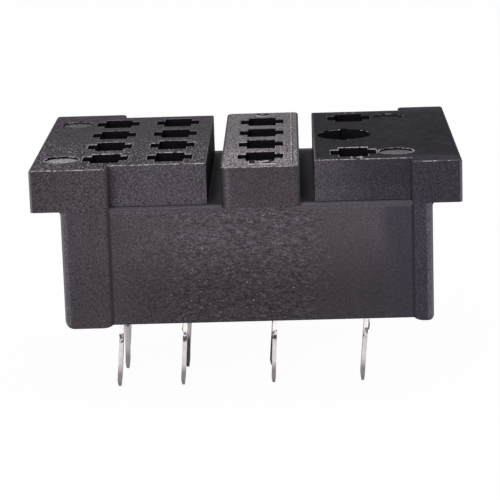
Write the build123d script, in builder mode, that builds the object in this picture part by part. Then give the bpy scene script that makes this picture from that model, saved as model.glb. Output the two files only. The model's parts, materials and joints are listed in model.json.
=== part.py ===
"""Printed-circuit relay socket: a moulded housing with fourteen plus-shaped wells and a spring contact in each.

Frame: +X runs along the socket from the normally closed end to the coil end, +Y across it, +Z up.
The origin is midway between the end lips and between the rows, on the board that the feet stand on.
All sizes are in millimetres.
"""
import os

from build123d import *

# Housing, overall
overall_length = 29.0
overall_height = 11.0
lip_thickness = 2.87
lip_overhang = 2.0
lip_step = 1.25
left_lip_length = 5.25
right_lip_length = 3.35
edge_radius = 0.3
top_edge_radius = 0.14
under_lip_radius = 0.3

# Housing, lower body: posts at both ends, whose feet stand on the board, and panels set back between them
post_setback = 0.05
post_edge_radius = 0.3
left_foot_radius = 0.65
right_foot_radius = 0.4
foot_height = 0.18
foot_depth = 3.0
foot_run_out = 0.7
panel_setback = 0.05
panel_top_radius = 0.35
panel_bottom_radius = 0.15

# Housing, blocks that stand on the deck with a channel each side of the middle one
end_wall_thickness = 0.975
channel_width = 1.0
middle_block_width = 5.3
middle_block_drop = 0.12
middle_edge_radius = 0.45

# Blade pattern of the relay that plugs in
row_pitch = 4.4
first_column_from_end = 4.9
contact_column_pitch = 4.4
common_column_pitch = 6.2
coil_column_pitch = 6.35
rows_per_column = 4

# Plus-shaped wells: the wings guide the relay's blade, the window passes the contact
wing_length = 3.12
wing_width = 1.65
wing_depth = 6.7
window_length = 1.98
window_width = 3.25
mouth_chamfer = 0.05
floor_thickness = 0.9

# Fixing hole in the coil block, with a keying notch at its mouth
fixing_hole_diameter = 3.9
fixing_hole_from_coil_column = 0.5
notch_width = 0.55
notch_length = 4.5
notch_depth = 2.0

# Ejector marks
ejector_diameter = 2.35
ejector_depth = 0.15
ejector_row_y = 6.7
left_ejector_from_end = 1.9
right_ejector_from_end = 4.25

# Spring contact, stamped and folded from one strip
strip_thickness = 0.3
contact_clearance = 0.1
contact_side_clearance = 0.15
fold_radius = 0.2
web_height = 3.0
contact_top_depth = 1.2
throat_depth = 1.3
throat_gap = 0.4
flare_gap = 1.5
leaf_tip_width = 0.9
leaf_bend_radius = 0.6
leaf_corner_radius = 0.25
barb_height = 0.5
barb_width = 0.6
barb_clearance = 0.02

# Board pins, and how far each one's tip leans towards the normally closed end, front row first
pin_width = 1.0
pin_length = 5.2
pin_clearance = 0.05
pin_tip_radius = 0.42
pin_tip_taper = 0.07
pin_tip_height = 0.5
nc_pin_leans = [0.4, 0.13, 0.4, 0.66]
no_pin_leans = [0.36, 0.22, 0.36, 0.86]
com_pin_leans = [0.26, 0.4, 0.3, 0.26]
coil_pin_leans = [0.42, -0.4]

# Places worked out from the sizes above
end_x = overall_length / 2
body_end_x = end_x - lip_overhang
left_lip_x = -end_x + left_lip_length
right_lip_x = end_x - right_lip_length
deck_z = overall_height - lip_thickness
row_ys = [(row - (rows_per_column - 1) / 2) * row_pitch for row in range(rows_per_column)]
recess_width = row_ys[-1] - row_ys[0] + window_width + 2 * end_wall_thickness
lip_width = recess_width + 2 * lip_step
post_width = lip_width - 2 * post_setback
panel_width = post_width - 2 * panel_setback
floor_z = foot_height + floor_thickness
nc_x = -end_x + first_column_from_end
no_x = nc_x + contact_column_pitch
com_x = no_x + common_column_pitch
coil_x = com_x + coil_column_pitch
middle_left_x = com_x - middle_block_width / 2
middle_right_x = com_x + middle_block_width / 2
fixing_hole_x = coil_x - fixing_hole_from_coil_column

# Each column: name, place along the socket, rows that carry a contact, leans of its pins
columns = [
    ("nc_contact", nc_x, row_ys, nc_pin_leans),
    ("no_contact", no_x, row_ys, no_pin_leans),
    ("com_contact", com_x, row_ys, com_pin_leans),
    ("coil_contact", coil_x, [row_ys[0], row_ys[-1]], coil_pin_leans),
]
well_centres = [(x, y) for _, x, ys, _ in columns for y in ys]

# Contact sizes that follow from its well
contact_depth = window_length - 2 * contact_clearance
contact_width = window_width - 2 * contact_side_clearance
web_offset = contact_depth / 2 - strip_thickness / 2
web_top_z = floor_z + web_height
contact_top_z = overall_height - contact_top_depth
throat_z = contact_top_z - throat_depth

os.makedirs("parts", exist_ok=True)


def span(x_from, x_to, width, corner_radius=0.0):
    """Rectangle between two places along the socket, centred across it."""
    with Locations(((x_from + x_to) / 2, 0)):
        if corner_radius:
            RectangleRounded(x_to - x_from, width, corner_radius)
        else:
            Rectangle(x_to - x_from, width)


def strip_section(plane, points, radius, mirrored=False):
    """Edge view of the contact strip, folded along the given points, with its thickness to their right."""
    with BuildSketch(plane) as section:
        with BuildLine():
            FilletPolyline(*points, radius=radius)
            offset(amount=strip_thickness, side=Side.RIGHT)
        make_face()
        if mirrored:
            mirror(about=Plane.YZ)
    return section.sketch


def make_post(outer_x, inner_x, foot_radius):
    """End post across the socket, whose foot is rounded outside and runs out in a curve towards the panels."""
    inward = 1 if inner_x > outer_x else -1
    toe = (inner_x - inward * foot_run_out, 0)
    with BuildPart() as post:
        with BuildSketch(Plane.XZ):
            with BuildLine():
                FilletPolyline((outer_x, deck_z), (outer_x, 0), toe, radius=foot_radius)
                TangentArc(toe, (inner_x, foot_height), tangent=(inward, 0))
                Polyline((inner_x, foot_height), (inner_x, deck_z), (outer_x, deck_z))
            make_face()
        extrude(amount=post_width / 2, both=True)
        with BuildSketch():
            span(min(outer_x, inner_x), max(outer_x, inner_x), post_width, post_edge_radius)
        extrude(amount=deck_z, mode=Mode.INTERSECT)
    return post.part


# Housing: one moulding
with BuildPart() as housing:
    # End posts, cut away underneath between the front and the back feet
    add(make_post(-body_end_x, left_lip_x, left_foot_radius))
    add(make_post(body_end_x, right_lip_x, right_foot_radius))
    with BuildSketch():
        Rectangle(overall_length, post_width - 2 * foot_depth)
    extrude(amount=foot_height, mode=Mode.SUBTRACT)

    # Front and back panels between the posts, rounded along the top and the bottom
    with BuildSketch(Plane.YZ.offset(left_lip_x - post_edge_radius)) as panel:
        with Locations((0, (foot_height + deck_z) / 2)):
            Rectangle(panel_width, deck_z - foot_height)
        fillet(panel.vertices().group_by(Axis.Y)[-1], panel_top_radius)
        fillet(panel.vertices().group_by(Axis.Y)[0], panel_bottom_radius)
    extrude(amount=right_lip_x - left_lip_x + 2 * post_edge_radius)

    # Left and right blocks: an end lip, and a narrower part that leaves a ledge along the deck
    with BuildSketch(Plane.XY.offset(deck_z)):
        span(-end_x, left_lip_x, lip_width, edge_radius)
        span(left_lip_x - edge_radius, middle_left_x - channel_width, recess_width)
        span(right_lip_x, end_x, lip_width, edge_radius)
        span(middle_right_x + channel_width, right_lip_x + edge_radius, recess_width)
    extrude(amount=lip_thickness)
    fillet(housing.faces().group_by(Axis.Z)[-1].edges(), top_edge_radius)

    # Middle block, flush with the panels and rising from below their rounded tops
    with BuildSketch(Plane.XY.offset(deck_z - panel_top_radius)):
        span(middle_left_x, middle_right_x, panel_width, middle_edge_radius)
    extrude(amount=panel_top_radius + lip_thickness - middle_block_drop)
    middle_top = housing.faces().filter_by(Plane.XY).group_by(Axis.Z)[-2]
    fillet(middle_top.edges(), top_edge_radius)

    # Moulded fillet under each end lip
    with BuildSketch(Plane.XZ):
        with BuildLine():
            corner = (body_end_x, deck_z)
            foot_point = (body_end_x, deck_z - under_lip_radius)
            lip_point = (body_end_x + under_lip_radius, deck_z)
            Line(corner, lip_point)
            RadiusArc(lip_point, foot_point, -under_lip_radius)
            Line(foot_point, corner)
        make_face()
        mirror(about=Plane.YZ)
    extrude(amount=post_width / 2 - post_edge_radius, both=True)

    # Wells: the window goes down to the floor, the wings as deep as a blade reaches
    with BuildSketch(Plane.XY.offset(overall_height)):
        with Locations(*well_centres):
            Rectangle(window_length, window_width)
    extrude(amount=floor_z - overall_height, mode=Mode.SUBTRACT)
    with BuildSketch(Plane.XY.offset(overall_height)):
        with Locations(*well_centres):
            Rectangle(wing_length, wing_width)
    extrude(amount=-wing_depth, mode=Mode.SUBTRACT)
    top_faces = housing.faces().filter_by(Plane.XY).group_by(Axis.Z)[-2:]
    mouths = [face.inner_wires() for group in top_faces for face in group]
    chamfer([edge for wires in mouths for wire in wires for edge in wire.edges()], mouth_chamfer)

    # Slots that the board pins pass through
    with BuildSketch(Plane.XY.offset(floor_z)):
        with Locations(*[(x + web_offset, y) for x, y in well_centres]):
            Rectangle(strip_thickness + 2 * pin_clearance, pin_width + 2 * pin_clearance)
    extrude(amount=-floor_thickness, mode=Mode.SUBTRACT)

    # Fixing hole and the notch at its mouth
    with BuildSketch(Plane.XY.offset(overall_height)):
        with Locations((fixing_hole_x, 0)):
            Circle(fixing_hole_diameter / 2)
    extrude(amount=-overall_height, mode=Mode.SUBTRACT)
    with BuildSketch(Plane.XY.offset(overall_height)):
        with Locations((fixing_hole_x, 0)):
            Rectangle(notch_width, notch_length)
    extrude(amount=-notch_depth, mode=Mode.SUBTRACT)

    # Shallow round marks left by the mould's ejector pins
    with BuildSketch(Plane.XY.offset(overall_height)):
        for x in (-end_x + left_ejector_from_end, end_x - right_ejector_from_end):
            with Locations((x, ejector_row_y), (x, -ejector_row_y)):
                Circle(ejector_diameter / 2)
    extrude(amount=-ejector_depth, mode=Mode.SUBTRACT)
housing.part.label = "housing"
export_step(housing.part, "parts/housing.step")


def make_contact(well_x, pin_lean):
    """One spring contact, standing on the floor of a well in the middle of its column."""
    left_x = well_x - contact_depth / 2
    right_x = well_x + contact_depth / 2
    web_x = well_x + web_offset
    leaf_width = contact_depth - strip_thickness - fold_radius
    inner_y = contact_width / 2 - strip_thickness
    across = Plane.YZ.offset(left_x)

    with BuildPart() as contact:
        # Channel folded from the strip: a web on one side and a flange at each end of it
        half_depth = contact_depth / 2
        half_width = contact_width / 2
        corners = [(-half_depth, half_width), (half_depth, half_width)]
        corners += [(half_depth, -half_width), (-half_depth, -half_width)]
        channel = strip_section(Plane((well_x, 0, floor_z)), corners, fold_radius + strip_thickness)
        extrude(channel, amount=web_height)

        # Two leaves that rise from the flanges, close in on the blade and flare at the top
        leaf_line = [(inner_y, web_top_z), (inner_y, web_top_z + leaf_bend_radius)]
        leaf_line += [(throat_gap / 2, throat_z), (flare_gap / 2, contact_top_z)]
        leaves = strip_section(across, leaf_line, leaf_bend_radius, mirrored=True)
        extrude(leaves, amount=leaf_width)

        # Side outline of the blank: the leaves narrow towards their tips
        with BuildSketch(Plane.XZ) as outline:
            leaf_mid_x = left_x + leaf_width / 2
            with BuildLine():
                Polyline(
                    (left_x, floor_z),
                    (left_x, web_top_z),
                    (leaf_mid_x - leaf_tip_width / 2, contact_top_z + strip_thickness),
                    (leaf_mid_x + leaf_tip_width / 2, contact_top_z + strip_thickness),
                    (left_x + leaf_width, web_top_z),
                    (right_x, web_top_z),
                    (right_x, floor_z),
                    close=True,
                )
            make_face()
            fillet(outline.vertices().group_by(Axis.Y)[-1], leaf_corner_radius)
        extrude(amount=contact_width, both=True, mode=Mode.INTERSECT)

        # Barbs on the flanges that bite into the well's walls
        with BuildSketch(across):
            barb_z = floor_z + (web_height - barb_height) / 2
            barb_tip_y = window_width / 2 - barb_clearance
            with BuildLine():
                Polyline(
                    (contact_width / 2, barb_z),
                    (barb_tip_y, barb_z + barb_height),
                    (contact_width / 2, barb_z + barb_height),
                    close=True,
                )
            make_face()
            mirror(about=Plane.YZ)
        extrude(amount=barb_width)

        # Board pin: straight through the floor, then leaning, with a rounded and slightly tapered tip
        with BuildSketch(Plane.XZ):
            half = strip_thickness / 2
            tip_x = web_x - pin_lean
            with BuildLine():
                Polyline(
                    (web_x - half, floor_z),
                    (web_x - half, foot_height),
                    (tip_x - half, pin_tip_height - pin_length),
                    (tip_x - half + pin_tip_taper, -pin_length),
                    (tip_x + half - pin_tip_taper, -pin_length),
                    (tip_x + half, pin_tip_height - pin_length),
                    (web_x + half, foot_height),
                    (web_x + half, floor_z),
                    close=True,
                )
            make_face()
        extrude(amount=pin_width / 2, both=True)
        tip_edges = contact.edges().group_by(Axis.Z)[0].filter_by(Axis.X)
        fillet(tip_edges, min(pin_tip_radius, 0.45 * pin_width))
    return contact.part


# Contacts of each column, alike but for the lean of their pins
for column_name, column_x, column_ys, pin_leans in columns:
    for number, (row_y, pin_lean) in enumerate(zip(column_ys, pin_leans), start=1):
        placed_contact = make_contact(column_x, pin_lean).moved(Location((0, row_y, 0)))
        placed_contact.label = f"{column_name}_{number}"
        export_step(placed_contact, f"parts/{placed_contact.label}.step")
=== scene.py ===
"""Finish of the relay socket: black moulded housing, tinned contacts, mould flash and terminal numbers."""
import json
import math
from types import SimpleNamespace

import bmesh
import bpy
from mathutils import Matrix, Vector


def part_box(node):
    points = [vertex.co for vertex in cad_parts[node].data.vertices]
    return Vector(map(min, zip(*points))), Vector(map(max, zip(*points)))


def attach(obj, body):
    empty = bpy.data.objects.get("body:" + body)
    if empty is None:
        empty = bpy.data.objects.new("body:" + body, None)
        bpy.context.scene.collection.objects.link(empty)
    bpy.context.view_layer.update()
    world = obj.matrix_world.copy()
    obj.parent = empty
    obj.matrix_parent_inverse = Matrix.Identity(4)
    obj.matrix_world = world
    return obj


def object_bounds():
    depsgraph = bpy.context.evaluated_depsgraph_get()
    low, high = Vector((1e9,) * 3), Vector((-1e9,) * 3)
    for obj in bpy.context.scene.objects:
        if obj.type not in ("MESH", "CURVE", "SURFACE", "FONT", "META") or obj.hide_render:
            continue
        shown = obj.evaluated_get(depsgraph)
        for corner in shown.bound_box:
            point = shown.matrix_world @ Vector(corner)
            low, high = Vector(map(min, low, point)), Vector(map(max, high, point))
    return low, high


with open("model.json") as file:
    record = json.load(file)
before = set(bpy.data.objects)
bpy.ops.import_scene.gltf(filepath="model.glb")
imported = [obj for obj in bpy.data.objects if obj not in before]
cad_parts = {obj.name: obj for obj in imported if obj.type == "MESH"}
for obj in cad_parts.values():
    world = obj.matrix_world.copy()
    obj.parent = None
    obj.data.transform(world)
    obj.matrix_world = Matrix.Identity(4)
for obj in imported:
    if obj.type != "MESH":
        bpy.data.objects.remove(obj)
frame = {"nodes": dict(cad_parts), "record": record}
cad_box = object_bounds()

MM = 0.001

# Right end, back and top of the housing, from the frame, in millimetres as all places on the socket
END_X, SIDE_Y, TOP_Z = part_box("housing")[1] / MM

# Blocks, lips and panels of the housing
DECK_Z = 8.13
MIDDLE_TOP_Z = TOP_Z - 0.12
MIDDLE_BLOCK_X = 1.0
MIDDLE_BLOCK_HALF = 2.66
LEFT_BLOCK_END_X = -2.6
RIGHT_BLOCK_START_X = 4.6
CHANNEL_CORNER_X = -1.65
HIGHLIT_CORNER_X = CHANNEL_CORNER_X + 0.45
WITNESS_GROOVE_X = 3.2
WITNESS_RIDGE_X = WITNESS_GROOVE_X - 0.08
WITNESS_REACH = 0.05
LEFT_LIP_X = -9.25
RIGHT_LIP_X = 11.15
RECESS_Y = 9.2
PANEL_Y = SIDE_Y - 0.1

# Wells, ejector marks and fixing hole
RIM_Z = TOP_Z - 0.35
INNER_WALLS_X = 12.4
INNER_WALLS_Y = 9.1
MARK_WALLS_X = END_X - 0.3
EJECTOR_MARK_RADIUS = 1.175
EJECTOR_MARK_XS = (-12.6, 10.25)
EJECTOR_MARK_Y = 6.7
MARK_RIM_RADIUS = EJECTOR_MARK_RADIUS + 0.04
MARK_RIM_REACH = 0.07
fixing_hole = next(mount for mount in frame["record"]["mounts"] if mount["name"] == "fixing_hole")
FIXING_HOLE_X = fixing_hole["pos_m"][0] / MM
FIXING_HOLE_RADIUS = fixing_hole["dims"]["r_mm"]

# Zones of the finish and of painted light and shade: where each starts to show, and where it shows in full
MARK_FLOORS_Z = (TOP_Z - 0.12, TOP_Z - 0.14)
WELL_FLOORS_Z = (TOP_Z - 1.0, TOP_Z - 1.1)
WELL_FLOORS_Y = (9.4, 6.5)
WALL_FOOT_Z = (DECK_Z + 1.6, DECK_Z)
PANEL_SHADE_Z = (2.0, 6.8)
LEFT_LIP_SHADE_X = (-END_X, -10.0)
PANEL_SHADE_FROM_X = (-9.5, -5.5)
PANEL_SHADE_TO_X = (9.6, 8.8)
COARSE_GRAIN_FROM_X = (-9.0, -3.0)
COARSE_GRAIN_TO_X = (6.5, 3.5)
ROUGH_WALLS_TO_X = (-1.0, -3.0)
TEXTURED_PANELS_TO_X = (5.0, 2.0)
COIL_END_WALLS_X = (4.5, 9.0)
COIL_END_PANELS_X = (8.0, 10.5)
RIGHT_CHANNEL_TO_X = (RIGHT_BLOCK_START_X + 0.25, RIGHT_BLOCK_START_X + 0.1)
RIGHT_POST_X = (11.0, 11.2)
END_CORNERS_X = (11.5, 11.8)
POST_CORNERS_X = (12.0, 12.15)
RIGHT_TOP_STRIPS_Y = (7.5, 9.5)
FRONT_PART_Y = (-3.0, -6.0)
FRONT_HALF_Y = (3.0, -5.0)
FRONT_MARKS_Y = (0.0, -1.0)
FRONT_MOUTHS_Y = (0.5, -2.0)
BACK_PART_Y = (2.0, 4.0)

# Zones of the contacts' finish and painted shade, below the board's face and across the rows
PIN_ROOT_Z = (-1.6, -1.3)
PIN_TIP_Z = (-3.4, -4.3)
REAR_ROWS_Y = (-5.5, -4.0)
SHADED_TIP_Z = (-2.4, -3.2)
SHADED_TIP_X = (-8.0, -7.0)
STAIN_Z = -1.65
STAIN_REACH = 0.45

# Kinds of face, by one component of the normal: where each starts to count, and where it counts in full
LEVEL = (0.985, 0.999)
EDGE_FROM = (0.62, 0.76)
EDGE_TO = (0.985, 0.96)
EDGE_FRONTAL = (0.15, 0.25)
MOUTH_FROM = (0.62, 0.68)
MOUTH_TO = (0.8, 0.74)
UPRIGHT = (0.5, 0.4)
FLOOR = (0.4, 0.5)
LEDGE = (0.2, 0.7)
FLAT_LEDGE = (0.9, 0.99)
POST_CORNER_FRONTAL = (0.1, 0.3)
END_CORNER_FROM = (0.3, 0.6)
END_CORNER_TO = (0.999, 0.98)
ROLLED = (0.5, 0.8)
NUMERAL_TOP = (0.5, 0.9)

# Levels of the patterns of marks: where a change starts to show, and where it shows in full
GLINTS = (0.68, 0.8)
SALT_GRAINS = (0.56, 0.7)
PALE_SMEARS = (0.52, 0.75)
SCRAPED_AND_HIGHLIT_RIMS = (0.4, 0.55)
SCRAPED_AND_HIGHLIT_EDGES = (0.4, 0.6)
SCRAPED_AND_HIGHLIT_MOUTHS = (0.4, 0.5)
BRIGHT_MOUTHS = (0.42, 0.55)
STAINS = (0.42, 0.54)
TEARS = (0.35, 0.65)

# Levels that nearly all of a pattern of marks lies between
MARKS_SPREAD = (0.3, 0.7)

# Strength of a pattern's finer detail, and its turn, so that no face lies along its cells
MARKS_ROUGHNESS = 0.6
MARKS_TURN = (0.5, 0.7, 0.3)

# Gloss
POLYESTER_ROUGHNESS = (0.55, 0.7)
POLYESTER_SPECULAR = 0.02
TIN_ROUGHNESS = (0.3, 0.45)
SCRAPED_ROUGHNESS = 0.6
FLASH_SPECULAR = 0.3

# Mould flash
MERGE_DISTANCE = 0.001
FLAT_NORMAL = 0.999
LOWEST_TOP_Z = MIDDLE_TOP_Z - 0.05
OUTER_EDGES_Y = INNER_WALLS_Y - 0.3
RING_TOLERANCE = 0.03
EDGE_FLASH_OUTWARDS = 0.08
EDGE_FLASH_SINK = 0.05
RING_FLASH_SINK = 0.034
SLIVER_SCALE_LOW = (0.4, 0.4, 0.3)
SLIVER_SCALE_HIGH = (1.5, 1.5, 1.6)
SLIVER_TILT = (0.25, 0.25, 3.0)
FLASH_SEED = 7

# Raised terminal numbers. The font's fill of a 9 breaks at some boldnesses, such as 0.06 and 0.08
NUMBER_HEIGHT = 1.2
NUMBER_Y = 9.0
NUMBER_RISE = 0.06
NUMBER_BOLDNESS = 0.07
SKIRT_RISE = 0.01
SKIRT_BOLDNESS = 0.11
SMALL_NUMBER_HEIGHT = 0.6
SMALL_NUMBER_X = 7.45
SMALL_NUMBER_Y = 8.62
SMALL_NUMBER_RISE = 0.001
SMALL_NUMBER_BOLDNESS = 0.0
NUMBER_STRETCH = 1.3
NUMERAL_SHARE_OF_FONT = 0.72

# Studio: floor in metres, share of white in its look, and strength of the surroundings as light
FLOOR_HALF_WIDTH = 2.0
FLOOR_GLOW = 0.97
WORLD_LIGHT = 0.35

# Camera, fitted to the photograph
VIEW_TARGET = Vector((-0.05, 0.0, 2.73)) * MM
VIEW_DISTANCE = 165.6 * MM
VIEW_PITCH = math.radians(13.36)
VIEW_YAW = math.radians(-1.258)
VIEW_ROLL = math.radians(-1.791)
FOCAL_PIXELS = 2304.4
IMAGE_PIXELS = 500
SENSOR_MM = 36.0
NEAREST_SEEN = 10.0 * MM

# Width over which a mask fades at a sharp edge, in millimetres
SHARP = 0.05

# Socket numbers of the colour mix node
MIX_FACTOR, MIX_FIRST, MIX_SECOND, MIX_COLOUR = 0, 6, 7, 2


def linear(code):
    """Linear colour of an sRGB hex value."""
    parts = [int(code[i:i + 2], 16) / 255 for i in (1, 3, 5)]
    return [c / 12.92 if c <= 0.04045 else ((c + 0.055) / 1.055) ** 2.4 for c in parts] + [1.0]


def add_node(tree, kind, inputs=None, **settings):
    """Add a node with its settings, and fill its inputs with values or links."""
    node = tree.nodes.new(kind)
    for name, value in settings.items():
        setattr(node, name, value)
    for socket, value in (inputs or {}).items():
        if isinstance(value, bpy.types.NodeSocket):
            tree.links.new(value, node.inputs[socket])
        else:
            node.inputs[socket].default_value = value
    return node


def new_material(name):
    """Empty node material with its output, and its shader plugged in."""
    material = bpy.data.materials.new(name)
    material.use_nodes = True
    tree = material.node_tree
    tree.nodes.clear()
    shader = add_node(tree, "ShaderNodeBsdfPrincipled")
    add_node(tree, "ShaderNodeOutputMaterial", {"Surface": shader.outputs[0]})
    return material, tree, shader


def fade(tree, value, limits):
    """Smooth mask that goes from 0 at the first limit to 1 at the second."""
    inputs = {0: value, 1: limits[0], 2: limits[1], 3: 0.0, 4: 1.0}
    return add_node(tree, "ShaderNodeMapRange", inputs, interpolation_type="SMOOTHSTEP").outputs[0]


def zone(tree, coordinate, limits):
    """Smooth mask along a coordinate, between two limits in millimetres."""
    return fade(tree, coordinate, [limit * MM for limit in limits])


def past(tree, coordinate, limit):
    """Mask that holds from a limit in millimetres onwards, with a sharp edge."""
    return zone(tree, coordinate, (limit - SHARP, limit))


def short_of(tree, coordinate, limit):
    """Mask that holds up to a limit in millimetres, with a sharp edge."""
    return zone(tree, coordinate, (limit, limit - SHARP))


def near(tree, coordinate, place, reach, soft=0.5):
    """Mask that holds within this many millimetres of a place, and fades over the soft share of them."""
    apart = add_node(tree, "ShaderNodeMath", {0: coordinate, 1: place * MM}, operation="SUBTRACT").outputs[0]
    gap = add_node(tree, "ShaderNodeMath", {0: apart}, operation="ABSOLUTE").outputs[0]
    return zone(tree, gap, (reach, (1 - soft) * reach))


def all_of(tree, *masks):
    """Mask that holds only where all the given masks do."""
    result = masks[0]
    for mask in masks[1:]:
        result = add_node(tree, "ShaderNodeMath", {0: result, 1: mask}, operation="MULTIPLY").outputs[0]
    return result


def any_of(tree, *masks):
    """Mask that holds where at least one of the given masks does."""
    result = masks[0]
    for mask in masks[1:]:
        result = add_node(tree, "ShaderNodeMath", {0: result, 1: mask}, operation="MAXIMUM").outputs[0]
    return result


def marks(tree, position, size, stretch=(1.0, 1.0, 1.0), detail=2.0, distortion=0.0):
    """Pattern of uneven marks of this many millimetres, drawn out by the stretch along each axis."""
    squeeze = tuple(1 / share for share in stretch)
    turned = {"Vector": position, "Scale": squeeze, "Rotation": MARKS_TURN}
    placed = add_node(tree, "ShaderNodeMapping", turned).outputs[0]
    inputs = {"Vector": placed, "Scale": 1 / (size * MM), "Detail": detail, "Roughness": MARKS_ROUGHNESS,
              "Distortion": distortion}
    return add_node(tree, "ShaderNodeTexNoise", inputs).outputs[0]


def shaded(tree, colour, share, low, high, mask=None, spread=(0.0, 1.0)):
    """Colour, scaled from low to high as the share goes across its spread, where the mask holds."""
    inputs = {0: share, 1: spread[0], 2: spread[1], 3: low, 4: high}
    factor = add_node(tree, "ShaderNodeMapRange", inputs).outputs[0]
    changed = add_node(tree, "ShaderNodeVectorMath", {0: colour, 3: factor}, operation="SCALE").outputs[0]
    if mask is None:
        return changed
    inputs = {MIX_FACTOR: mask, MIX_FIRST: colour, MIX_SECOND: changed}
    return add_node(tree, "ShaderNodeMix", inputs, data_type="RGBA").outputs[MIX_COLOUR]


def grained(tree, colour, pattern, low, high, mask=None):
    """Colour, made darker and lighter by a pattern of marks, where the mask holds."""
    return shaded(tree, colour, pattern, low, high, mask, MARKS_SPREAD)


def painted(tree, colour, coats):
    """Colour under coats that each turn it to a hex colour where a mask holds, one after the other."""
    for code, mask in coats:
        inputs = {MIX_FACTOR: mask, MIX_FIRST: colour, MIX_SECOND: linear(code)}
        colour = add_node(tree, "ShaderNodeMix", inputs, data_type="RGBA").outputs[MIX_COLOUR]
    return colour


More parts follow.
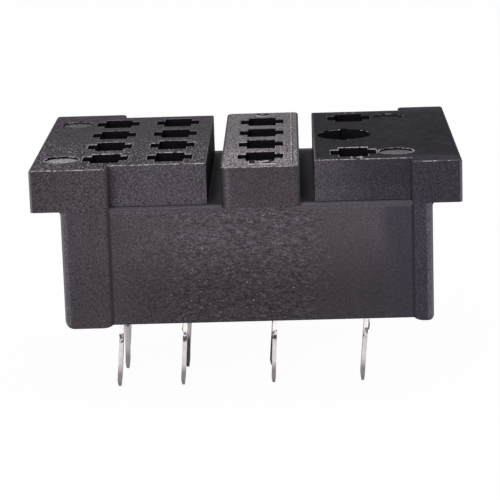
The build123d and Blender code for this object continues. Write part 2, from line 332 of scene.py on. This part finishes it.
def housing_zones(tree, coordinates):
    """Masks of the housing's faces, edges and zones."""
    on = SimpleNamespace()
    place = add_node(tree, "ShaderNodeSeparateXYZ", {0: coordinates.outputs["Object"]})
    facing = add_node(tree, "ShaderNodeSeparateXYZ", {0: coordinates.outputs["Normal"]})
    x, y, z = place.outputs
    rightward, backward, upward = facing.outputs
    along, across, sideways, frontal, steep = [
        add_node(tree, "ShaderNodeMath", {0: value}, operation="ABSOLUTE").outputs[0]
        for value in (x, y, rightward, backward, upward)
    ]
    on.upright = fade(tree, steep, UPRIGHT)
    on.above_deck = past(tree, z, DECK_Z)
    on.below_deck = short_of(tree, z, DECK_Z)
    inside = short_of(tree, across, INNER_WALLS_Y)
    outside = past(tree, across, RECESS_Y)
    near_top = past(tree, z, RIM_Z)

    # Front and back
    on.front_part = zone(tree, y, FRONT_PART_Y)
    on.front_half = zone(tree, y, FRONT_HALF_Y)
    on.front_mouths = zone(tree, y, FRONT_MOUTHS_Y)
    on.back_part = zone(tree, y, BACK_PART_Y)

    # Tops of the three blocks, with the witness line on the middle one
    top = all_of(tree, fade(tree, upward, LEVEL), near_top)
    on.left_top = all_of(tree, top, short_of(tree, x, LEFT_BLOCK_END_X))
    on.middle_top = all_of(tree, top, near(tree, x, MIDDLE_BLOCK_X, MIDDLE_BLOCK_HALF + SHARP, soft=0.02))
    on.right_top = all_of(tree, top, past(tree, x, RIGHT_BLOCK_START_X))
    on.right_top_strips = all_of(tree, on.right_top, zone(tree, across, RIGHT_TOP_STRIPS_Y))
    on.witness_ridge = all_of(tree, on.middle_top, near(tree, x, WITNESS_RIDGE_X, WITNESS_REACH))
    on.witness_groove = all_of(tree, on.middle_top, near(tree, x, WITNESS_GROOVE_X, WITNESS_REACH))

    # Ejector marks and their rims
    in_mark = zone(tree, z, MARK_FLOORS_Z)
    on.left_mark = all_of(tree, on.left_top, in_mark)
    on.right_mark = all_of(tree, on.right_top, in_mark)
    ahead = add_node(tree, "ShaderNodeMath", {0: across, 1: EJECTOR_MARK_Y * MM}, operation="SUBTRACT")
    rims = []
    for centre_x in EJECTOR_MARK_XS:
        aside = add_node(tree, "ShaderNodeMath", {0: x, 1: centre_x * MM}, operation="SUBTRACT")
        apart = add_node(tree, "ShaderNodeCombineXYZ", {0: aside.outputs[0], 1: ahead.outputs[0]}).outputs[0]
        from_centre = add_node(tree, "ShaderNodeVectorMath", {0: apart}, operation="LENGTH").outputs["Value"]
        rims.append(near(tree, from_centre, MARK_RIM_RADIUS, MARK_RIM_REACH))
    ringed = any_of(tree, *rims)
    on.mark_rim = all_of(tree, top, ringed, zone(tree, y, FRONT_MARKS_Y))

    # Outer edges of the tops, and mouths of the wells
    on.edge = all_of(tree, near_top, fade(tree, upward, EDGE_TO), fade(tree, upward, EDGE_FROM),
                     past(tree, across, INNER_WALLS_Y), fade(tree, frontal, EDGE_FRONTAL))
    on.right_edge = all_of(tree, on.edge, zone(tree, x, RIGHT_POST_X))
    on.mouth = all_of(tree, near_top, fade(tree, upward, MOUTH_FROM), fade(tree, upward, MOUTH_TO), inside)

    # Walls and floors of the wells, channels, marks and the fixing hole, painted near black as shade
    well_wall = all_of(tree, on.upright, inside, short_of(tree, along, INNER_WALLS_X))
    mark_wall = all_of(tree, on.upright, inside, near_top, short_of(tree, along, MARK_WALLS_X))
    deep_floor = all_of(tree, fade(tree, upward, FLOOR), zone(tree, across, WELL_FLOORS_Y),
                        zone(tree, z, WELL_FLOORS_Z))
    on.dark = any_of(tree, well_wall, mark_wall, deep_floor)
    on.back_mark_wall = all_of(tree, mark_wall, ringed, on.back_part)

    # Channels: painted light makes the right-hand wall of each, which faces the light, paler than the painted
    # shade of the wells, and the left block's end a little
    in_channel = all_of(tree, on.dark, on.above_deck)
    on.left_channel = all_of(tree, in_channel, near(tree, x, CHANNEL_CORNER_X, reach=0.95, soft=1.0))
    at_right_block = near(tree, x, RIGHT_BLOCK_START_X, reach=0.9, soft=1.0)
    on.right_channel = all_of(tree, in_channel, at_right_block, zone(tree, x, RIGHT_CHANNEL_TO_X))
    on.left_block_end = all_of(tree, in_channel, near(tree, x, LEFT_BLOCK_END_X, reach=0.12, soft=0.3))

    # Ledges, lifted with painted light, and creases, darkened with painted shade: foot of the recess walls,
    # inner corners of the lips, seams between posts and panels
    at_recess = near(tree, across, RECESS_Y, reach=0.05)
    at_panel = near(tree, across, PANEL_Y, reach=0.1)
    at_right_lip = near(tree, x, RIGHT_LIP_X, reach=0.12)
    on.wall_foot = zone(tree, z, WALL_FOOT_Z)
    on.ledge = all_of(tree, outside, fade(tree, upward, LEDGE), near(tree, z, DECK_Z, reach=0.4, soft=0.2))
    on.flat_ledge = all_of(tree, outside, fade(tree, upward, FLAT_LEDGE), near(tree, z, DECK_Z, reach=0.1))
    on.recess_wall = all_of(tree, at_recess, on.above_deck, on.upright)
    on.foot_line = all_of(tree, at_recess, near(tree, z, DECK_Z, reach=0.05))
    on.crease = any_of(
        tree,
        all_of(tree, near(tree, across, RECESS_Y, reach=0.3), at_right_lip, on.above_deck),
        all_of(tree, at_panel, near(tree, x, LEFT_LIP_X, reach=0.2, soft=0.9), on.below_deck),
        all_of(tree, at_panel, at_right_lip, on.below_deck),
    )

    # Vertical corners of the end lips and posts, for painted highlights, and the middle block's corner by the
    # channel: a painted highlight on its front, and painted shade where it turns into the channel
    on.post_corner = all_of(tree, on.below_deck, on.upright, zone(tree, along, POST_CORNERS_X),
                            fade(tree, frontal, POST_CORNER_FRONTAL))
    on.end_corner = all_of(tree, zone(tree, along, END_CORNERS_X), fade(tree, sideways, END_CORNER_FROM),
                           fade(tree, sideways, END_CORNER_TO), on.upright)
    block_wall = all_of(tree, on.upright, on.above_deck, outside)
    on.pale_corner = all_of(tree, near(tree, x, HIGHLIT_CORNER_X, reach=0.3, soft=1.0), block_wall)
    on.shaded_corner = all_of(tree, near(tree, x, CHANNEL_CORNER_X, reach=0.4, soft=1.0), block_wall)

    # Stretches along the walls and panels: painted shade on the left lip and panels, grain, and the coil
    # end's tone
    on.left_lip = all_of(tree, on.above_deck, on.upright, short_of(tree, x, LEFT_LIP_X))
    on.left_lip_shade = zone(tree, x, LEFT_LIP_SHADE_X)
    on.panel_shade = zone(tree, z, PANEL_SHADE_Z)
    on.panel = all_of(tree, on.below_deck, on.upright)
    on.panel_middle = all_of(tree, on.panel, zone(tree, x, PANEL_SHADE_FROM_X),
                             zone(tree, x, PANEL_SHADE_TO_X))
    on.coarse_panel = all_of(tree, on.panel, zone(tree, x, COARSE_GRAIN_FROM_X),
                             zone(tree, x, COARSE_GRAIN_TO_X))
    on.rough_wall = all_of(tree, on.above_deck, on.upright, zone(tree, x, ROUGH_WALLS_TO_X))
    on.textured = any_of(tree, on.above_deck, zone(tree, x, TEXTURED_PANELS_TO_X),
                         zone(tree, x, RIGHT_POST_X))
    on.coil_end = any_of(tree, all_of(tree, on.above_deck, zone(tree, x, COIL_END_WALLS_X)),
                         all_of(tree, on.below_deck, zone(tree, x, COIL_END_PANELS_X)))
    return on


# Black polyester, moulded in a spark-eroded tool: a matt, faintly purple black with a coarse wavy grain on
# the panels and scuffed tops, with painted light and shade: a sheen on the tops, highlights on corners and
# on the edges, which are partly scraped, and shade in the wells, channels and creases and low on the panels
def moulded_polyester():
    material, tree, shader = new_material("black_moulded_polyester")
    coordinates = add_node(tree, "ShaderNodeTexCoord")
    position = coordinates.outputs["Object"]
    on = housing_zones(tree, coordinates)

    # Marks: leathery in the middle of the panels, finer elsewhere, salt-like or smeared on the tops.
    # The fine grain is drawn at 0.1 mm, a little coarser than the tool gives it, so that it shows
    fine = marks(tree, position, size=0.1)
    coarse = marks(tree, position, size=0.2, stretch=(2.0, 1.0, 0.8), distortion=0.9)
    glint = marks(tree, position, size=0.16, stretch=(1.6, 1.0, 0.9), detail=1.0)
    cloud = marks(tree, position, size=3.2, detail=3.0)
    salt = marks(tree, position, size=0.12, stretch=(1.0, 2.0, 1.0), detail=1.0)
    smear = marks(tree, position, size=0.2, stretch=(2.0, 1.5, 1.0), detail=3.0, distortion=0.4)
    scuffs_and_highlights = marks(tree, position, size=0.16, detail=3.0)

    # Walls and panels: painted light on the recess walls, more at their feet, and on the ledges; painted
    # shade at the far end of the left lip and towards the bottom of the panels
    colour = painted(tree, linear("#373237"), [("#3f3a3f", cloud), ("#423d43", on.recess_wall)])
    # Painted shade: the left lip darker towards its far end
    colour = shaded(tree, colour, on.left_lip_shade, low=0.88, high=1.08, mask=on.left_lip)
    colour = painted(tree, colour, [
        ("#302c33", all_of(tree, on.coil_end, on.above_deck)),
        ("#343038", all_of(tree, on.coil_end, on.below_deck)),
    ])
    coil_end_recess = all_of(tree, on.recess_wall, on.coil_end)
    # Painted light: the recess walls lighter towards their feet, where shade falls
    colour = shaded(tree, colour, on.wall_foot, low=1.0, high=1.22, mask=on.recess_wall)
    colour = shaded(tree, colour, on.wall_foot, low=1.0, high=1.15, mask=coil_end_recess)
    colour = painted(tree, colour, [("#474249", on.ledge), ("#625d63", on.flat_ledge)])
    # Painted shade: the panels darker towards the bottom, most in their middle
    colour = shaded(tree, colour, on.panel_shade, low=0.92, high=1.06, mask=on.panel)
    colour = shaded(tree, colour, on.panel_shade, low=0.82, high=1.2, mask=on.panel_middle)

    # Corners, tops and marks: painted highlights on the posts' corners and the middle block's corner; tops
    # toned partly by their finish and partly by a painted sheen; ejector marks with pale floors, partly their
    # finish and partly painted light, and painted shadow at their back; the witness line
    colour = painted(tree, colour, [
        # Painted highlights on the posts' corners and on the middle block's corner
        ("#49454c", on.post_corner),
        ("#484349", on.pale_corner),
        # Tops: partly their finish, partly painted sheen, with a lighter strip at the back of the right top
        ("#3b363c", on.left_top),
        ("#676266", on.middle_top),
        ("#736d72", all_of(tree, on.middle_top, on.front_part)),
        ("#131118", on.right_top),
        ("#2b2830", on.right_top_strips),
        # Ejector marks: pale floors, partly finish and partly painted light, with painted shadow at their
        # back
        ("#948f93", on.left_mark),
        ("#5a5559", all_of(tree, on.left_mark, on.back_part)),
        ("#666267", on.right_mark),
        ("#201e24", all_of(tree, on.right_mark, on.back_part)),
        ("#8f8a90", on.witness_ridge),
        ("#4b474d", on.witness_groove),
    ])

    # Grain, with painted glints on the panels' coarse grain
    colour = grained(tree, colour, fine, low=0.7, high=1.3)
    colour = grained(tree, colour, fine, low=0.75, high=1.25, mask=on.textured)
    colour = grained(tree, colour, fine, low=0.8, high=1.2, mask=on.rough_wall)
    colour = grained(tree, colour, coarse, low=0.5, high=1.55, mask=on.coarse_panel)
    colour = painted(tree, colour, [("#6c6870", all_of(tree, on.coarse_panel, fade(tree, glint, GLINTS)))])
    colour = grained(tree, colour, salt, low=0.4, high=1.6, mask=on.middle_top)
    colour = grained(tree, colour, salt, low=0.45, high=1.55, mask=all_of(tree, on.middle_top, on.front_half))
    colour = grained(tree, colour, salt, low=0.1, high=1.9, mask=on.left_top)
    salted = all_of(tree, on.left_top, on.front_half, fade(tree, salt, SALT_GRAINS))
    colour = painted(tree, colour, [("#8a858b", salted)])
    colour = grained(tree, colour, smear, low=0.2, high=1.8, mask=on.right_top)

    # Smears; painted shade in the channel corner, creases, recess feet, wells and channels, with painted
    # light on the channels' walls that face the light; painted highlights on the end corners; edges, rims and
    # mouths, partly scraped and partly painted highlight, dimmer on the right lip and at the back of the coil
    # end
    colour = painted(tree, colour, [
        ("#2b2830", all_of(tree, on.right_top, fade(tree, smear, PALE_SMEARS))),
        # Rims of the ejector marks: partly scraped, partly painted highlight
        ("#a09b9f", all_of(tree, on.mark_rim, fade(tree, scuffs_and_highlights, SCRAPED_AND_HIGHLIT_RIMS))),
        # Painted highlight on the rounded end corners
        ("#5b575c", on.end_corner),
        # Painted shade at the channel corner, in the creases and at the foot of the recess walls
        ("#211f22", on.shaded_corner),
        ("#28252a", on.crease),
        ("#201d21", on.foot_line),
        # Painted shade in the wells and channels, with painted light on the channels' walls that face the
        # light
        ("#100e11", on.dark),
        ("#29262b", on.back_mark_wall),
        ("#544f55", on.left_channel),
        ("#494549", on.right_channel),
        ("#2b282c", on.left_block_end),
        # Edges and mouths: partly scraped, partly painted highlight, dimmer on the right lip and at the back
        # of the coil end
        ("#9b969b", all_of(tree, on.edge, fade(tree, scuffs_and_highlights, SCRAPED_AND_HIGHLIT_EDGES))),
        ("#4f4a50", on.right_edge),
        ("#5d585e", all_of(tree, on.mouth, fade(tree, scuffs_and_highlights, SCRAPED_AND_HIGHLIT_MOUTHS))),
        ("#2a272c", all_of(tree, on.mouth, on.coil_end, on.back_part)),
        ("#a19ca2", all_of(tree, on.mouth, fade(tree, scuffs_and_highlights, BRIGHT_MOUTHS), on.front_mouths)),
    ])
    tree.links.new(colour, shader.inputs["Base Color"])

    # Relief and gloss
    fine_bump = add_node(tree, "ShaderNodeBump", {"Strength": 0.4, "Distance": 0.02 * MM, "Height": fine})
    coarse_relief = {"Strength": 0.8, "Distance": 0.07 * MM, "Height": all_of(tree, coarse, on.coarse_panel),
                     "Normal": fine_bump.outputs[0]}
    coarse_bump = add_node(tree, "ShaderNodeBump", coarse_relief)
    tree.links.new(coarse_bump.outputs[0], shader.inputs["Normal"])
    rough_low, rough_high = POLYESTER_ROUGHNESS
    roughness = add_node(tree, "ShaderNodeMapRange", {0: cloud, 3: rough_low, 4: rough_high}).outputs[0]
    tree.links.new(roughness, shader.inputs["Roughness"])
    shader.inputs["Specular IOR Level"].default_value = POLYESTER_SPECULAR
    return material


# Tin plate on stamped spring bronze: a soft white metal, brightest at the root of each pin and darker
# towards the tips; darker on the rolled faces, partly duller tin and partly painted dark reflection; painted
# shade on the rear rows and their tips; a flux stain a little below the board's face
def tinned_bronze():
    material, tree, shader = new_material("tin_plated_bronze")
    coordinates = add_node(tree, "ShaderNodeTexCoord")
    position = coordinates.outputs["Object"]
    x, y, z = add_node(tree, "ShaderNodeSeparateXYZ", {0: position}).outputs
    rightward = add_node(tree, "ShaderNodeSeparateXYZ", {0: coordinates.outputs["Normal"]}).outputs[0]
    sideways = add_node(tree, "ShaderNodeMath", {0: rightward}, operation="ABSOLUTE").outputs[0]
    mottle = marks(tree, position, size=0.25, stretch=(1.0, 1.0, 2.5), detail=3.0)
    spots = marks(tree, position, size=0.3)
    behind = zone(tree, y, REAR_ROWS_Y)
    shaded_tip = all_of(tree, behind, zone(tree, z, SHADED_TIP_Z), zone(tree, x, SHADED_TIP_X))
    stain = all_of(tree, near(tree, z, STAIN_Z, STAIN_REACH), fade(tree, spots, STAINS))
    # Painted shade on the rear rows and their tips, and painted dark reflection on the rolled faces
    colour = painted(tree, linear("#a7a0a2"), [
        ("#d3cccd", mottle),
        ("#e2dcdd", zone(tree, z, PIN_ROOT_Z)),
        ("#a39d9f", behind),
        ("#787274", zone(tree, z, PIN_TIP_Z)),
        ("#3f3a3c", shaded_tip),
        ("#5f595b", fade(tree, sideways, ROLLED)),
        ("#3f3a3c", stain),
    ])
    tree.links.new(colour, shader.inputs["Base Color"])
    bump = add_node(tree, "ShaderNodeBump", {"Strength": 0.25, "Distance": 0.01 * MM, "Height": mottle})
    tree.links.new(bump.outputs[0], shader.inputs["Normal"])
    rough_low, rough_high = TIN_ROUGHNESS
    roughness = add_node(tree, "ShaderNodeMapRange", {0: mottle, 3: rough_low, 4: rough_high}).outputs[0]
    tree.links.new(roughness, shader.inputs["Roughness"])
    shader.inputs["Metallic"].default_value = 1.0
    return material


# Raised numerals keep the tool's dark skin on top, and carry a painted highlight on their sides
def dark_skin():
    material, tree, shader = new_material("numeral_skin_painted_highlight")
    normal = add_node(tree, "ShaderNodeTexCoord").outputs["Normal"]
    upward = add_node(tree, "ShaderNodeSeparateXYZ", {0: normal}).outputs[2]
    # Painted highlight on the numerals' sides, dark skin on their tops
    colour = painted(tree, linear("#b5b0b5"), [("#121013", fade(tree, upward, NUMERAL_TOP))])
    tree.links.new(colour, shader.inputs["Base Color"])
    shader.inputs["Roughness"].default_value = SCRAPED_ROUGHNESS
    shader.inputs["Specular IOR Level"].default_value = POLYESTER_SPECULAR
    return material


# Mould flash: thin scraped polyester that turns pale where it is torn, and stays dull where it is rubbed
# flat. The numbers at the back take a darker copy of it, which is painted shade
def torn_flash(name, dull, pale):
    material, tree, shader = new_material(name)
    position = add_node(tree, "ShaderNodeTexCoord").outputs["Object"]
    torn = fade(tree, marks(tree, position, size=0.3), TEARS)
    colour = painted(tree, linear(dull), [(pale, torn)])
    tree.links.new(colour, shader.inputs["Base Color"])
    shader.inputs["Roughness"].default_value = SCRAPED_ROUGHNESS
    shader.inputs["Specular IOR Level"].default_value = FLASH_SPECULAR
    return material


POLYESTER = moulded_polyester()
TIN = tinned_bronze()
FLASH = torn_flash("torn_polyester_flash", "#5f5a5e", "#c2bdc0")
# Darker copy of the flash for the numbers at the back: painted shade
SHADED_FLASH = torn_flash("shaded_polyester_flash", "#3a363b", "#5f5a5f")
NUMERAL = dark_skin()

for name, node in frame["nodes"].items():
    finish = POLYESTER if name == "housing" else TIN
    for material_slot in node.material_slots:
        material_slot.material = finish


def link(name, mesh, material=None):
    """Object at the origin, made of the mesh and finished in the material, if one is given."""
    piece = bpy.data.objects.new(name, mesh)
    bpy.context.scene.collection.objects.link(piece)
    if material is not None:
        mesh.materials.clear()
        mesh.materials.append(material)
    return piece


def seat(piece):
    """Fix a finished piece to the socket."""
    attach(piece, "root")


# Mould flash along the front and back edges of the tops, and round the ejector marks and the fixing hole

def top_rims(is_ring, sink):
    """Mesh of the rings, or of the outer edges a little further out, sunk some millimetres below the tops."""
    shape = bmesh.new()
    shape.from_mesh(frame["nodes"]["housing"].data)
    bmesh.ops.remove_doubles(shape, verts=shape.verts, dist=MERGE_DISTANCE * MM)
    shape.normal_update()
    rings = [(Vector((x, y)) * MM, EJECTOR_MARK_RADIUS * MM)
             for x in EJECTOR_MARK_XS for y in (-EJECTOR_MARK_Y, EJECTOR_MARK_Y)]
    rings.append((Vector((FIXING_HOLE_X, 0.0)) * MM, FIXING_HOLE_RADIUS * MM))

    def is_top(face):
        return face.normal.z > FLAT_NORMAL and face.calc_center_median().z > LOWEST_TOP_Z * MM

    def is_outer(point):
        return abs(point.y) > OUTER_EDGES_Y * MM

    def is_flashed(edge):
        if sum(is_top(face) for face in edge.link_faces) != 1:
            return False
        first, last = (corner.co for corner in edge.verts)
        middle = (first + last) / 2
        if is_outer(middle):
            return not is_ring and abs(last.x - first.x) > abs(last.y - first.y)
        from_rings = (abs((middle.xy - centre).length - radius) for centre, radius in rings)
        return is_ring and min(from_rings) < RING_TOLERANCE * MM

    places = {}
    pairs = []
    for edge in filter(is_flashed, shape.edges):
        pairs.append([places.setdefault(corner, len(places)) for corner in edge.verts])
    points = []
    for corner in places:
        point = corner.co.copy()
        if is_outer(point):
            point.y += math.copysign(EDGE_FLASH_OUTWARDS * MM, point.y)
        point.z -= sink * MM
        points.append(point)
    mesh = bpy.data.meshes.new("top_rims")
    mesh.from_pydata(points, pairs, [])
    shape.free()
    return mesh


def flash_tree():
    """Geometry nodes that scatter small slivers along edges, in broken runs."""
    tree = bpy.data.node_groups.new("mould_flash", "GeometryNodeTree")
    tree.interface.new_socket("Geometry", in_out="INPUT", socket_type="NodeSocketGeometry")
    for name in ("Spacing", "Length", "Thickness", "Run Length", "Bare Share"):
        tree.interface.new_socket(name, in_out="INPUT", socket_type="NodeSocketFloat")
    tree.interface.new_socket("Seed", in_out="INPUT", socket_type="NodeSocketInt")
    tree.interface.new_socket("Material", in_out="INPUT", socket_type="NodeSocketMaterial")
    tree.interface.new_socket("Geometry", in_out="OUTPUT", socket_type="NodeSocketGeometry")
    given = add_node(tree, "NodeGroupInput").outputs

    # Points along the edges, some of them bare
    curve = add_node(tree, "GeometryNodeMeshToCurve", {"Mesh": given["Geometry"]}).outputs[0]
    spaced = {"Curve": curve, "Length": given["Spacing"]}
    points = add_node(tree, "GeometryNodeCurveToPoints", spaced, mode="LENGTH")
    per_run = add_node(tree, "ShaderNodeMath", {0: 1.0, 1: given["Run Length"]}, operation="DIVIDE")
    runs = add_node(tree, "ShaderNodeTexNoise", {"Scale": per_run.outputs[0], "Detail": 2.0}).outputs[0]
    covered = add_node(tree, "ShaderNodeMath", {0: runs, 1: given["Bare Share"]}, operation="GREATER_THAN")

    # Uneven slivers, each tilted by its own amount
    sliver = add_node(tree, "GeometryNodeMeshIcoSphere", {"Radius": 0.5, "Subdivisions": 1})
    sizes = {0: given["Thickness"], 1: given["Thickness"], 2: given["Length"]}
    stretch = add_node(tree, "ShaderNodeCombineXYZ", sizes).outputs[0]
    scales = {0: SLIVER_SCALE_LOW, 1: SLIVER_SCALE_HIGH, "Seed": given["Seed"]}
    uneven = add_node(tree, "FunctionNodeRandomValue", scales, data_type="FLOAT_VECTOR").outputs[0]
    size = add_node(tree, "ShaderNodeVectorMath", {0: stretch, 1: uneven}, operation="MULTIPLY").outputs[0]
    tilts = {0: [-angle for angle in SLIVER_TILT], 1: SLIVER_TILT, "Seed": given["Seed"]}
    tilt = add_node(tree, "FunctionNodeRandomValue", tilts, data_type="FLOAT_VECTOR").outputs[0]
    placed = add_node(tree, "GeometryNodeInstanceOnPoints", {
        "Points": points.outputs["Points"],
        "Selection": covered.outputs[0],
        "Instance": sliver.outputs["Mesh"],
        "Rotation": points.outputs["Rotation"],
        "Scale": size,
    })
    turned = add_node(tree, "GeometryNodeRotateInstances", {"Instances": placed.outputs[0], "Rotation": tilt})
    real = add_node(tree, "GeometryNodeRealizeInstances", {"Geometry": turned.outputs[0]}).outputs[0]
    finished = add_node(tree, "GeometryNodeSetMaterial", {"Geometry": real, "Material": given["Material"]})
    add_node(tree, "NodeGroupOutput", {"Geometry": finished.outputs[0]})
    return tree


def from_nodes(name, mesh, tree, values):
    """Piece made by a geometry node tree from a starting mesh."""
    start = link(name + "_start", mesh)
    modifier = start.modifiers.new("nodes", "NODES")
    modifier.node_group = tree
    sockets = {item.name: item.identifier for item in tree.interface.items_tree if item.in_out == "INPUT"}
    for input_name, value in values.items():
        modifier[sockets[input_name]] = value
    evaluated = start.evaluated_get(bpy.context.evaluated_depsgraph_get())
    made = bpy.data.meshes.new_from_object(evaluated)
    bpy.data.objects.remove(start)
    made.name = name
    return link(name, made)


slivers = flash_tree()
edge_flash = from_nodes("edge_flash", top_rims(False, EDGE_FLASH_SINK), slivers, {
    "Spacing": 0.05 * MM,
    "Length": 0.16 * MM,
    "Thickness": 0.055 * MM,
    "Run Length": 0.6 * MM,
    "Bare Share": 0.47,
    "Seed": FLASH_SEED,
    "Material": FLASH,
})
seat(edge_flash)
ring_flash = from_nodes("ring_flash", top_rims(True, RING_FLASH_SINK), slivers, {
    "Spacing": 0.06 * MM,
    "Length": 0.14 * MM,
    "Thickness": 0.03 * MM,
    "Run Length": 0.5 * MM,
    "Bare Share": 0.5,
    "Seed": FLASH_SEED,
    "Material": FLASH,
})
seat(ring_flash)


# Raised terminal numbers beside the wells of the common and coil columns

def terminal_number(name, text, height, centre, rise, boldness, material):
    """Number that rises above a top and is read from the front. All its sizes are in millimetres."""
    curve = bpy.data.curves.new(name, "FONT")
    curve.body = text
    curve.size = height * MM / NUMERAL_SHARE_OF_FONT
    curve.align_x = "CENTER"
    curve.align_y = "CENTER"
    curve.extrude = rise * MM
    curve.offset = boldness * MM
    writing = bpy.data.objects.new("writing", curve)
    bpy.context.scene.collection.objects.link(writing)
    mesh = bpy.data.meshes.new_from_object(writing.evaluated_get(bpy.context.evaluated_depsgraph_get()))
    bpy.data.objects.remove(writing)
    widened = Matrix.Diagonal((NUMBER_STRETCH, 1.0, 1.0, 1.0))
    mesh.transform(Matrix.Translation(Vector(centre) * MM) @ widened)
    piece = link(name, mesh, material)
    seat(piece)


for text, y, skirt_finish in (("12", -NUMBER_Y, FLASH), ("9", NUMBER_Y, SHADED_FLASH)):
    name = "terminal_number_" + text
    centre = (MIDDLE_BLOCK_X, y, MIDDLE_TOP_Z)
    terminal_number(name, text, NUMBER_HEIGHT, centre, NUMBER_RISE, NUMBER_BOLDNESS, NUMERAL)
    terminal_number(name + "_skirt", text, NUMBER_HEIGHT, centre, SKIRT_RISE, SKIRT_BOLDNESS, skirt_finish)
for text, y, finish in (("14", -SMALL_NUMBER_Y, FLASH), ("13", SMALL_NUMBER_Y, SHADED_FLASH)):
    name = "terminal_number_" + text
    centre = (SMALL_NUMBER_X, y, TOP_Z)
    terminal_number(name, text, SMALL_NUMBER_HEIGHT, centre, SMALL_NUMBER_RISE, SMALL_NUMBER_BOLDNESS, finish)


# Studio: pale floor under the pins, soft light all round

def white_to_the_eye(tree):
    """1 for rays that show the background: straight, mirrored or through glass."""
    path = add_node(tree, "ShaderNodeLightPath").outputs
    return any_of(tree, path["Is Camera Ray"], path["Is Glossy Ray"], path["Is Transmission Ray"])


def studio_floor():
    """Wide pale floor at the tips of the pins. It glows white to the eye and keeps a faint shadow.

    From below it lets the eye through, so that the underside can be looked at.
    """
    low = cad_box[0][2]
    mesh = bpy.data.meshes.new("studio_floor")
    quarters = ((-1, -1), (1, -1), (1, 1), (-1, 1))
    corners = [(x * FLOOR_HALF_WIDTH, y * FLOOR_HALF_WIDTH, low) for x, y in quarters]
    mesh.from_pydata(corners, [], [(0, 1, 2, 3)])
    material = bpy.data.materials.new("pale_floor")
    material.use_nodes = True
    tree = material.node_tree
    tree.nodes.clear()
    paint = add_node(tree, "ShaderNodeBsdfDiffuse", {"Color": linear("#f2f2f2")})
    glow = add_node(tree, "ShaderNodeEmission", {"Color": linear("#ffffff"), "Strength": 1.0})
    seen = {0: white_to_the_eye(tree), 1: FLOOR_GLOW}
    share = add_node(tree, "ShaderNodeMath", seen, operation="MULTIPLY").outputs[0]
    upper = add_node(tree, "ShaderNodeMixShader", {0: share, 1: paint.outputs[0], 2: glow.outputs[0]})
    lower = add_node(tree, "ShaderNodeBsdfTransparent")
    from_below = add_node(tree, "ShaderNodeNewGeometry").outputs["Backfacing"]
    surface = add_node(tree, "ShaderNodeMixShader", {0: from_below, 1: upper.outputs[0], 2: lower.outputs[0]})
    add_node(tree, "ShaderNodeOutputMaterial", {"Surface": surface.outputs[0]})
    link("studio_floor", mesh, material)


def studio_world():
    """White surroundings, at full white to the eye and at a lower level as light."""
    world = bpy.data.worlds.new("studio")
    bpy.context.scene.world = world
    world.use_nodes = True
    tree = world.node_tree
    tree.nodes.clear()
    levels = {0: white_to_the_eye(tree), 3: WORLD_LIGHT, 4: 1.0}
    strength = add_node(tree, "ShaderNodeMapRange", levels).outputs[0]
    light = add_node(tree, "ShaderNodeBackground", {"Color": linear("#ffffff"), "Strength": strength})
    add_node(tree, "ShaderNodeOutputWorld", {"Surface": light.outputs[0]})


def softbox(name, place, size, watts):
    """Square soft light that faces the socket. Its place and size are in metres."""
    lamp = bpy.data.lights.new(name, "AREA")
    lamp.shape = "SQUARE"
    lamp.size = size
    lamp.energy = watts
    light = bpy.data.objects.new(name, lamp)
    bpy.context.scene.collection.objects.link(light)
    light.location = place
    light.rotation_euler = (VIEW_TARGET - Vector(place)).to_track_quat("-Z", "Y").to_euler()


def photo_camera():
    """Camera where the photograph was taken from."""
    turn = (Matrix.Rotation(-VIEW_YAW, 4, "Z") @ Matrix.Rotation(math.pi / 2 - VIEW_PITCH, 4, "X")
            @ Matrix.Rotation(VIEW_ROLL, 4, "Z"))
    lens = bpy.data.cameras.new("photo_camera")
    lens.sensor_width = SENSOR_MM
    lens.lens = FOCAL_PIXELS / IMAGE_PIXELS * SENSOR_MM
    lens.clip_start = NEAREST_SEEN
    camera = bpy.data.objects.new("photo_camera", lens)
    bpy.context.scene.collection.objects.link(camera)
    backwards = turn @ Vector((0, 0, VIEW_DISTANCE))
    camera.matrix_world = Matrix.Translation(VIEW_TARGET + backwards) @ turn
    bpy.context.scene.camera = camera


studio_floor()
studio_world()
softbox("front_light", place=(-0.14, -0.42, 0.14), size=0.26, watts=1.8)
softbox("top_light", place=(0.05, 0.10, 0.45), size=0.35, watts=0.6)
softbox("left_light", place=(-0.45, -0.05, 0.15), size=0.30, watts=0.8)
softbox("right_light", place=(0.45, -0.05, 0.15), size=0.30, watts=0.9)
photo_camera()
bpy.context.scene.view_settings.view_transform = "Standard"
